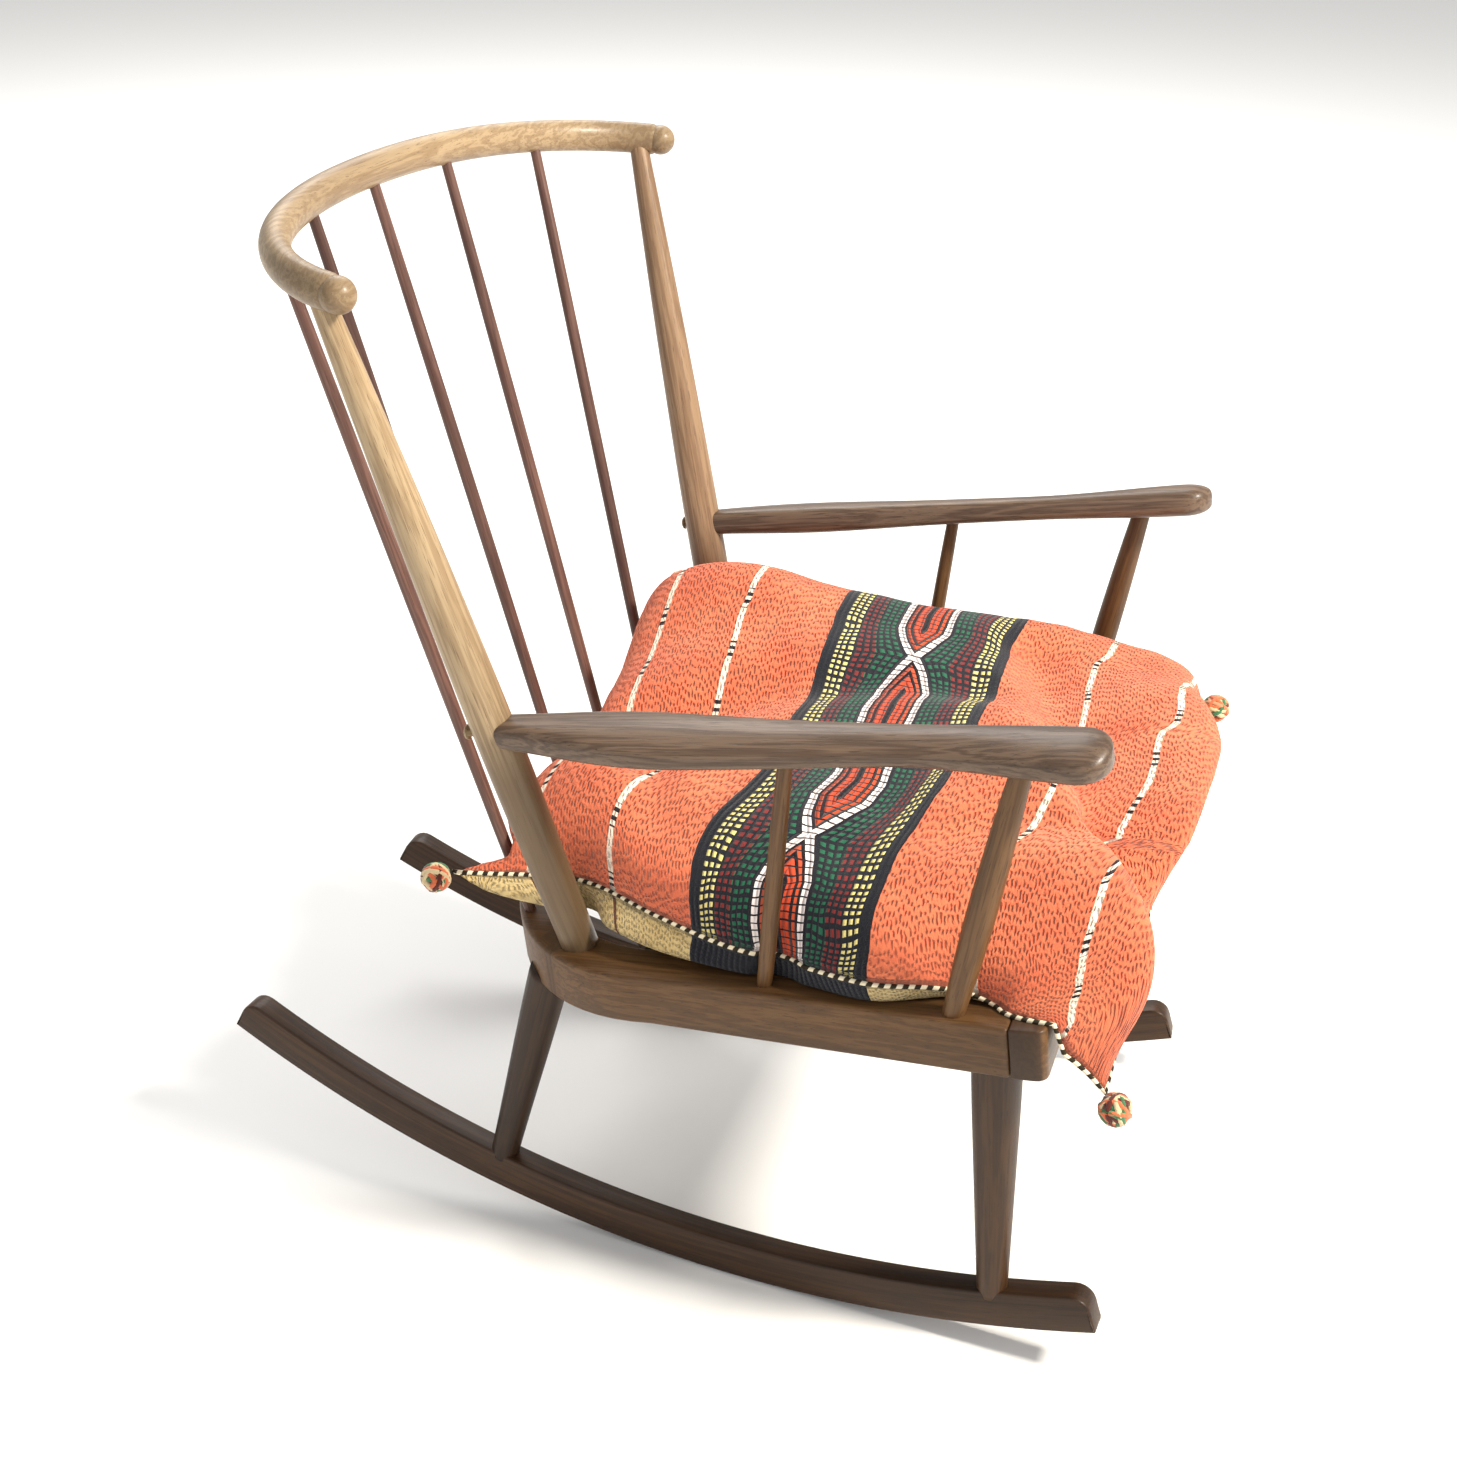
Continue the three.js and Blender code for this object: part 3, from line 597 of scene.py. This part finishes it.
# cushion
cushion = {"front": -0.306, "rear": 0.178, "seam": 0.003, "puff": 0.088, "sag": 0.036, "leftLift": 0.066,
           "cells": 70, "lift": 0.55, "underLift": 0.35, "swell": 0.008, "frames": 12, "pressure": 3.0,
           "overhang": 1.15, "backOverhang": 0.62, "middle": -0.064, "skew": 0.034, "bandLine": -0.048,
           "clearance": 0.0062, "travel": (0, 0.0133, 0.0267, 0.04),
           "rightSide": (0.240, 0.247, 0.236, 0.249, 0.236, 0.226, 0.206, 0.176, 0.168),
           "rightHeight": (0.004, 0.006, 0.014, 0.018, 0.020, 0.026, 0.036, 0.044, 0.036),
           "leftSide": (0.222, 0.222, 0.222, 0.220, 0.218, 0.214, 0.205, 0.190, 0.181),
           "underBulge": (0, 0, 0.004, 0.010, 0.009, 0.014, 0.028, 0.032, 0.016)}
corners = {
    "right_front": {"place": (-0.261, -0.299, 0.303), "side": (-1, -1), "tightness": 9},
    "left_front": {"place": (0.238, -0.298, 0.382), "side": (1, -1), "tightness": 12},
    "right_rear": {"place": (-0.187, 0.246, 0.337), "side": (-1, 1), "tightness": 10},
    "left_rear": {"place": (0.192, 0.180, 0.452), "side": (1, 1), "tightness": 7},
}
# creases: from, to in cloth shares, depth and width
creases = [
    ((-0.75, -1.0), (-0.42, -0.79), 0.046, 0.11),
    ((-0.42, -0.79), (0.1, -0.62), 0.036, 0.11),
    ((0.1, -0.62), (0.6, -0.45), 0.026, 0.12),
    ((-0.25, 0.95), (0.1, 0.35), 0.020, 0.13),
    ((0.1, 0.35), (0.22, -0.3), 0.015, 0.13),
    ((-0.8, 0.5), (-0.45, 0.62), 0.014, 0.08),
    ((-0.72, -0.1), (-0.25, -0.3), 0.010, 0.09),
    ((-0.66, -0.42), (-0.5, -0.72), 0.012, 0.08),
]
# places where the filling stands higher or lower: share, rise and width
bumps = [
    ((0.85, 0.72), 0.070, 0.42),
    ((0.80, -0.80), -0.050, 0.42),
    ((-0.72, 0.72), 0.025, 0.25),
    ((-0.7, -0.75), 0.016, 0.3),
]
# what stands round the cushion: foot, head, radius, and which way the cloth gives
neighbours = []
for _, side in sides:
    inward = Vector((-side, 0, 0))
    x, y = post["foot"]
    neighbours.append((seatTop(side * x, y), crestPoint(side * post["crestShare"]), 0.0168, inward))
    for foot, head, radii in support.values():
        armEnd = Vector((side * head[0], head[1], 0.52))
        neighbours.append((seatTop(side * foot[0], foot[1]), armEnd, max(radii), inward))
for k in range(-2, 3):
    sign = -1 if k < 0 else 1
    fx, fy = spindle["feet"][abs(k)]
    neighbours.append((seatTop(sign * fx, fy), crestPoint(sign * spindle["crestShare"][abs(k)]), 0.0054,
                       Vector((0, -1, 0))))


def leftRise(u):
    return cushion["leftLift"] * ((u + 1) / 2) ** 2


def pillowPoint(u, v):
    back = (v + 1) / 2
    half = ease(cushion["rightSide"], back) if u < 0 else ease(cushion["leftSide"], back)
    height = 0.025 + (ease(cushion["rightHeight"], back) - 0.025) * ((1 - u) / 2) ** 2
    y = cushion["front"] + back * (cushion["rear"] - cushion["front"])
    return Vector((u * half, y, height + leftRise(u)))


def creaseDepth(u, v):
    deepest = 0
    p = Vector((u, v))
    for start, end, depth, width in creases:
        a, b = Vector(start), Vector(end)
        t = min(1, max(0, (p - a).dot(b - a) / (b - a).length_squared))
        deepest = max(deepest, depth * math.exp(-((p - a - (b - a) * t).length / width) ** 2))
    return deepest


def wander(x, y, z):
    return noise.noise(Vector((x, y, z)))


def shapeCloth(u, v, isTop):
    full = max(0, (1 - u ** 4) * (1 - v ** 4)) ** (cushion["lift"] if isTop else cushion["underLift"])
    point = pillowPoint(u, v)
    toSeat = seatMatrix.inverted()
    for corner in corners.values():
        su, sv = corner["side"]
        closeness = ((1 + su * u) / 2 * (1 + sv * v) / 2) ** corner["tightness"]
        point += (toSeat @ Vector(corner["place"]) - pillowPoint(su, sv)) * closeness
    if isTop:
        lumps = wander(u * 1.8 + 3, v * 1.8, 1) * 0.012 + wander(u * 4, v * 4, 5) * 0.006
        edge = max(abs(u), abs(v)) ** 10
        alongSeam = u if abs(v) > abs(u) else v
        pucker = 0.0022 * edge * math.sin(alongSeam * 46 + 3 * wander(u * 6, v * 6, 2))
        height = cushion["puff"] - creaseDepth(u, v) + lumps
        for (bu, bv), rise, width in bumps:
            height += rise * math.exp(-((u - bu) ** 2 + (v - bv) ** 2) / width ** 2)
        point.z += height * full + cushion["seam"] / 2 + pucker * (1 - edge)
        if v < 0:  # the front swells out over its seam
            over = cushion["overhang"] * abs(v) ** 3 * (1 - v ** 4) * (1 - u ** 16)
            over *= 1 - 0.8 * smoothStep(u, 0.1, 0.85)
            over *= 1 - creaseDepth(u, v) / 0.04
        else:  # and at the back it leans on the spindles
            over = cushion["backOverhang"] * v ** 3 * (1 - v ** 4) * (1 - u ** 16)
        point.y += (point.y - cushion["middle"]) * over
    else:
        point.z -= (cushion["sag"] + leftRise(u)) * full + cushion["seam"] / 2
        if u < 0:
            a = abs(u) ** 10
            point.x -= ease(cushion["underBulge"], (v + 1) / 2) * 4 * a * (1 - a)
    return point


liftAxis = Vector((0, 0.262, 0.965))  # along the lean of the back


def keepClear(point):  # a point in the seat's own frame is moved off the frame's sticks and rails
    spot = seatMatrix @ point
    for foot, head, radius, give in neighbours:
        for travel in cushion["travel"]:  # the cushion has to clear the sticks as it is lifted
            raised = spot + liftAxis * travel
            share = min(1, max(0, (raised - foot).dot(head - foot) / (head - foot).length_squared))
            offset = raised - (foot + (head - foot) * share)
            offset.z = 0
            reach = radius + cushion["clearance"]
            aside = offset - give * offset.dot(give)
            if aside.length < reach and offset.length < 0.05:
                spot += give * max(0, math.sqrt(reach ** 2 - aside.length ** 2) - offset.dot(give))
    point = seatMatrix.inverted() @ spot
    overFrame = point.y > -seat["frontFace"] - 0.006
    inHole = abs(point.x) < 0.19 and -0.222 < point.y < 0.16
    floorHeight = -0.0050 if inHole else 0.0012 if overFrame and abs(point.x) < 0.27 else -0.06
    point.z = max(point.z, floorHeight)
    return point


def makeCushion():
    bm = bmesh.new()
    weave = bm.verts.layers.float_vector.new("weave")  # cloth place in metres, and 1 on the underside
    cell = bm.verts.layers.float_vector.new("cell")
    count = cushion["cells"]
    lines = {}
    for isTop in (True, False):
        made = bmesh.ops.create_grid(bm, x_segments=count, y_segments=count, size=1)
        for v in made["verts"]:
            u, w = v.co.x, v.co.y
            i, j = round((u + 1) / 2 * count), round((w + 1) / 2 * count)
            v[cell] = Vector((u, w, 0 if isTop else 1))
            v.co = keepClear(shapeCloth(u, w, isTop))
            lines[isTop, i, j] = v
        if not isTop:
            bmesh.ops.reverse_faces(bm, faces=list({f for v in made["verts"] for f in v.link_faces}))
    # the cloth's own measure runs along the surface from the band's middle line and from the centre line
    size = round(max(i for _, i, _ in lines))
    first = min(range(size + 1), key=lambda j: abs(lines[True, size // 2, j].co.y - cushion["bandLine"]))

    def gapBetween(here, there):
        return (lines[(True, *here)].co - lines[(True, *there)].co).length

    across, along = {}, {}
    for i in range(size + 1):
        bend = cushion["skew"] * smoothStep(i / size, 0.03, 0.3)  # the band drifts forwards from the right
        across[i, first] = pillowPoint(0, first / size * 2 - 1).y - cushion["bandLine"] + bend
        for step in (1, -1):
            j = first + step
            while 0 <= j <= size:
                across[i, j] = across[i, j - step] + step * gapBetween((i, j), (i, j - step))
                j += step
    for j in range(size + 1):
        along[size // 2, j] = 0
        for step in (1, -1):
            i = size // 2 + step
            while 0 <= i <= size:
                along[i, j] = along[i - step, j] + step * gapBetween((i, j), (i - step, j))
                i += step
    for (isTop, i, j), v in lines.items():
        v[weave] = Vector((along[i, j], across[i, j], 0 if isTop else 1))
    bmesh.ops.bridge_loops(bm, edges=[e for e in bm.edges if e.is_boundary])
    bmesh.ops.transform(bm, matrix=seatMatrix, verts=bm.verts)
    bmesh.ops.translate(bm, vec=footprintShift, verts=bm.verts)
    bmesh.ops.recalc_face_normals(bm, faces=bm.faces)
    mesh = bpy.data.meshes.new("cushionCover")
    bm.to_mesh(mesh)
    bm.free()
    piece = bpy.data.objects.new("cushionCover", mesh)
    scene.collection.objects.link(piece)
    return piece


def swell(piece):  # inflates the cover with cloth, and caps how far each point moves
    start = [v.co.copy() for v in piece.data.vertices]
    cloth = piece.modifiers.new("fill", "CLOTH")
    cloth.settings.use_pressure = True
    cloth.settings.uniform_pressure_force = cushion["pressure"]
    cloth.settings.effector_weights.gravity = 0
    cloth.settings.quality = 5
    cloth.settings.tension_stiffness = cloth.settings.compression_stiffness = 12
    cloth.settings.bending_stiffness = 0.3
    cloth.collision_settings.use_collision = False
    cloth.point_cache.frame_end = cushion["frames"]
    for number in range(1, cushion["frames"] + 1):
        scene.frame_set(number)
    swollen = piece.evaluated_get(bpy.context.evaluated_depsgraph_get()).data
    ends = [v.co.copy() for v in swollen.vertices]
    piece.modifiers.remove(cloth)
    scene.frame_set(1)
    toSeat = (Matrix.Translation(footprintShift) @ seatMatrix).inverted()
    for v, a, b in zip(piece.data.vertices, start, ends):
        move = b - a
        limit = cushion["swell"]
        moved = a + (move * (limit / move.length) if move.length > limit else move)
        v.co = toSeat.inverted() @ keepClear(toSeat @ moved)


cushionCover = makeCushion()
swell(cushionCover)
print("cushion filled")

band = {"half": 0.078, "chain": 0.019, "crossings": (-0.325, -0.175, 0.080), "dashPitch": 0.0064,
        "column": 0.0049, "stripes": (-0.235, -0.157, 0.157, 0.235), "row": 0.0029, "stitch": 0.0086}

# colours from the band's middle line to its edge
bandColours = ((0.0, "1b1016"), (0.035, "cf4a28"), (0.125, "1c1318"), (0.155, "c9502c"), (0.19, "1a1218"),
               (0.215, "f4e6e2"), (0.285, "15141b"), (0.32, "1c6144"), (0.52, "7c2825"), (0.69, "e2d184"),
               (0.865, "12131a"))


def coverLook():
    look = Look("wovenCover", Specular_IOR_Level=0.12, Sheen_Weight=0.15, Sheen_Roughness=0.6)
    spot = look.attribute("weave")
    waver = look.noise(spot, 22, 2)
    jitter = look.noise(spot, 130, 2)
    along, straightAcross, side = look.parts(spot)
    across = straightAcross + (waver - 0.5) * 0.006
    under = side > 0.5
    # staggered stitches
    rowLine = (across + (jitter - 0.5) * 0.0040) / band["row"]
    rowPlace = abs(rowLine.part() * 2 - 1)
    shuffle = look.node("ShaderNodeTexWhiteNoise", {"noise_dimensions": "1D"}, {"W": rowLine.floor()})
    stitchPlace = abs(((along + (jitter - 0.5) * 0.014) / band["stitch"] + shuffle).part() * 2 - 1)
    slit = (1 - rowPlace) * look.curve(stitchPlace, 0.15, 0.95)
    stitch = 1 - slit
    tuft = look.noise(spot, 1100, 2)
    patch = look.noise(spot, 16, 4, 0.6)
    orange = look.mix(look.curve(patch, 0.3, 0.75), srgb("d0553a"), srgb("e27350"))
    orange = look.mix(tuft * 0.5, orange, srgb("ee9868"))
    # painted shade: the slits between stitches are darkened
    orange = look.mix(slit * 0.5, orange, srgb("a03a28"))
    cream = look.mix(look.curve(patch, 0.3, 0.7), srgb("cbae74"), srgb("dcc48e"))
    # painted shade in the slits of the cream as well
    cream = look.mix(slit * 0.5, cream, srgb("8b6d3c"))
    # cream stripes with black checks
    colour = orange
    underColour = cream
    for n, place in enumerate(band["stripes"]):
        near = abs(across - place) < 0.0026
        checks = ((along / 0.0078).part() > 0.5) * ((along / 0.061 + 0.37 * n).part() > 0.64)
        thread = look.mix(checks, srgb("f3dfca"), srgb("1c1418"))
        colour = look.mix(near, colour, thread)
        underColour = look.mix(abs(across - place) < 0.0016, underColour, srgb("6e4128"))
    # the middle band: columns mirrored about its centre line, drawn in at each crossing
    toCross = abs(along - band["crossings"][0])
    for place in band["crossings"][1:]:
        toCross = toCross.least(abs(along - place))
    pinch = (1 - (toCross / 0.042).least(1.0)) * band["chain"]
    outward = abs(across)
    drawn = outward + pinch * (1 - (outward / 0.060).least(1.0))
    column = (drawn / band["column"]).floor()
    columnPlace = abs((drawn / band["column"]).part() * 2 - 1)
    dashPlace = ((along + (waver - 0.5) * 0.02) / band["dashPitch"]).part()
    dash = (dashPlace > 0.48 + (jitter - 0.5) * 0.5) * (columnPlace < 0.64)
    chart = look.ramp(drawn / band["half"], *((place, srgb(shade)) for place, shade in bandColours),
                      steps="CONSTANT")
    braid = (drawn < band["half"] * 0.285) * (dashPlace > 0.2)
    showing = dash.most(braid)
    ink = look.mix(tuft * 0.5, srgb("0d0e15"), srgb("262733"))
    bandColour = look.mix(showing, ink, chart)
    inBand = outward < band["half"]
    colour = look.mix(inBand, colour, bandColour)
    underColour = look.mix(inBand, underColour, ink)
    colour = look.mix(under, colour, underColour)
    bandHeight = (1 - columnPlace ** 2) * (0.35 + showing * 0.65)
    height = stitch + (bandHeight - stitch) * inBand + tuft * 0.3
    return look.finish(colour, 0.84 + tuft * 0.14, height, 0.0020, 1.0)


cushionCover.data.materials.append(coverLook())
smoother = cushionCover.modifiers.new("smooth", "SUBSURF")
smoother.levels = smoother.render_levels = 1
cushionCover.data.polygons.foreach_set("use_smooth", [True] * len(cushionCover.data.polygons))
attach(cushionCover, "cushion")
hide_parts("cushion")
print("cushion cover made")


# piping: a two-colour cord along the seam
piping = {"radius": 0.0018, "segments": 8, "check": 0.0088}


def pipingLook():
    look = Look("pipingCord", Specular_IOR_Level=0.15)
    grain = look.attribute("grain")
    along, turn, _ = look.parts(grain)
    check = (along / piping["check"] + turn * 0.5).part()
    tuft = look.noise(grain, 60, 2)
    colour = look.mix(check > 0.5, srgb("17140f"), srgb("efe2c4"))
    colour = look.mix(tuft * 0.25, colour, srgb("7a6a50"))
    return look.finish(colour, 0.85 + tuft * 0.1, abs(check * 2 - 1), 0.0008, 0.6)


def seamPath():  # the middle of the seam strip, in order round the cushion
    mesh = cushionCover.data
    cells = mesh.attributes["cell"].data
    rim = {}
    for v in mesh.vertices:
        u, w, _ = cells[v.index].vector
        if max(abs(u), abs(w)) > 0.9999:
            key = (round(u * 1000), round(w * 1000))
            rim.setdefault(key, []).append(v.co.copy())
    spots = sorted(rim.items(), key=lambda item: math.atan2(item[0][1], item[0][0]))
    return [sum(places, Vector()) / len(places) for _, places in spots]


def makePiping(name, points, material):  # a mesh tube round the seam
    count = len(points)
    lengths = [0]
    for a, b in zip(points, points[1:] + points[:1]):
        lengths.append(lengths[-1] + (b - a).length)
    bm = bmesh.new()
    grain = bm.verts.layers.float_vector.new("grain")
    rings = []
    for i in range(count + 1):
        turn = (points[(i + 1) % count] - points[i - 1]).to_track_quat("Z", "Y").to_matrix().to_4x4()
        ring = bmesh.ops.create_circle(bm, segments=piping["segments"], radius=piping["radius"],
                                       matrix=Matrix.Translation(points[i % count]) @ turn)["verts"]
        for n, v in enumerate(ring):
            v[grain] = Vector((lengths[i], n / piping["segments"], 0))
        rings.append([e for e in bm.edges if e.verts[0] in ring and e.verts[1] in ring])
    for a, b in zip(rings, rings[1:]):
        bmesh.ops.bridge_loops(bm, edges=a + b)
    bmesh.ops.recalc_face_normals(bm, faces=bm.faces)
    mesh = bpy.data.meshes.new(name)
    bm.to_mesh(mesh)
    bm.free()
    piece = bpy.data.objects.new(name, mesh)
    scene.collection.objects.link(piece)
    mesh.materials.append(material)
    mesh.polygons.foreach_set("use_smooth", [True] * len(mesh.polygons))
    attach(piece, "cushion")


makePiping("seamPiping", seamPath(), pipingLook())
print("piping made")

# pompons: balls of wound yarn
pompon = {"radius": 0.013, "reach": 0.014, "drop": 0.004, "strands": 18, "strand": 0.0025}


def yarnLook():
    look = Look("pomponYarn", Specular_IOR_Level=0.15, Sheen_Weight=0.3)
    tone = look.attribute("tone", 2)
    spot = look.node("ShaderNodeTexCoord", {}, {}, out=3)
    fuzz = look.noise(spot, 1500, 3)
    colour = look.ramp(tone, (0, srgb("e4764c")), (0.24, srgb("e6cfa2")), (0.56, srgb("dd9a74")),
                       (0.68, srgb("2f7a50")), (0.84, srgb("5c241c")), steps="CONSTANT")
    colour = look.mix(fuzz * 0.35, colour, srgb("5a3524"))
    return look.finish(colour, 0.85 + fuzz * 0.1, fuzz, 0.0008, 0.8)


yarn = yarnLook()
random.seed(11)
for name, corner in corners.items():
    x, y, z = corner["place"]
    away = Vector((x, y + 0.066, 0)).normalized()
    centre = Vector((x, y, z - pompon["drop"])) + away * pompon["reach"]
    bm = bmesh.new()
    tone = bm.verts.layers.float.new("tone")
    for n in range(pompon["strands"]):
        tilt = (Matrix.Rotation(random.uniform(0, math.pi), 4, "X")
                @ Matrix.Rotation(random.uniform(0, math.pi), 4, "Y"))
        lift = random.uniform(-0.75, 0.75)
        level = (pompon["radius"] - pompon["strand"]) * random.uniform(0.86, 1)
        start = Matrix.Translation((level * math.sqrt(1 - lift ** 2), 0, level * lift))
        made = bmesh.ops.create_circle(bm, segments=6, radius=pompon["strand"],
                                       matrix=start @ Matrix.Rotation(math.pi / 2, 4, "X"))["verts"]
        ring = made + list({e for v in made for e in v.link_edges})
        bmesh.ops.spin(bm, geom=ring, cent=(0, 0, 0), axis=(0, 0, 1), angle=2 * math.pi, steps=20,
                       use_merge=True)
        fresh = [v for v in bm.verts if v[tone] == 0]
        bmesh.ops.transform(bm, matrix=tilt, verts=fresh)
        shade = random.uniform(0.01, 1)
        for v in fresh:
            v[tone] = shade
    core = bmesh.ops.create_icosphere(bm, subdivisions=2, radius=pompon["radius"] - 2 * pompon["strand"])
    for v in core["verts"]:
        v[tone] = 0.9
    finishPiece(f"pompon_{name}Yarn", bm, yarn, "cushion", f"pompon_{name}",
                place=Matrix.Translation(centre), shadeEnds=False)
print("pompons made")

# floor, light and camera
studio = {"floor": "f4f3f1", "world": "ffffff", "worldStrength": 0.62}
floorBm = bmesh.new()
bmesh.ops.create_grid(floorBm, x_segments=1, y_segments=1, size=12)
floorMesh = bpy.data.meshes.new("studioFloor")
floorBm.to_mesh(floorMesh)
floorBm.free()
floor = bpy.data.objects.new("studioFloor", floorMesh)
scene.collection.objects.link(floor)
floorLook = Look("paleFloor", Roughness=0.9)
floorLook.shader.inputs["Base Color"].default_value = (*srgb(studio["floor"]), 1)
floorMesh.materials.append(floorLook.material)

world = bpy.data.worlds.new("paleRoom")
scene.world = world
world.use_nodes = True
world.node_tree.nodes["Background"].inputs["Color"].default_value = (*srgb(studio["world"]), 1)
world.node_tree.nodes["Background"].inputs["Strength"].default_value = studio["worldStrength"]


def addLight(name, place, target, power, size, colour):
    light = bpy.data.lights.new(name, "AREA")
    light.energy, light.size, light.color = power, size, colour
    lamp = bpy.data.objects.new(name, light)
    lamp.location = place
    lamp.rotation_euler = (Vector(target) - Vector(place)).to_track_quat("-Z", "Y").to_euler()
    scene.collection.objects.link(lamp)


addLight("keyLight", (-0.45, -2.8, 3.0), (0, 0, 0.4), 255, 0.6, (1.0, 0.94, 0.84))
addLight("fillLight", (-2.6, 0.3, 1.3), (0, 0, 0.4), 9, 2.0, (0.9, 0.94, 1.0))
addLight("backLight", (3.2, 1.6, 3.6), (3.0, 1.2, 0), 170, 3.0, (1.0, 0.99, 0.97))

view = {"place": (-1.4635, -0.5008, 1.1711), "tilt": 63.725, "roll": -0.505, "heading": -71.092, "lens": 50.08}
cameraData = bpy.data.cameras.new("viewCamera")
cameraData.lens, cameraData.sensor_width = view["lens"], 36
camera = bpy.data.objects.new("viewCamera", cameraData)
turn = Euler([math.radians(view[part]) for part in ("tilt", "roll", "heading")])
camera.matrix_world = Matrix.Translation(view["place"]) @ turn.to_matrix().to_4x4()
scene.collection.objects.link(camera)
scene.camera = camera
scene.view_settings.view_transform = "Standard"

print("scene ready")
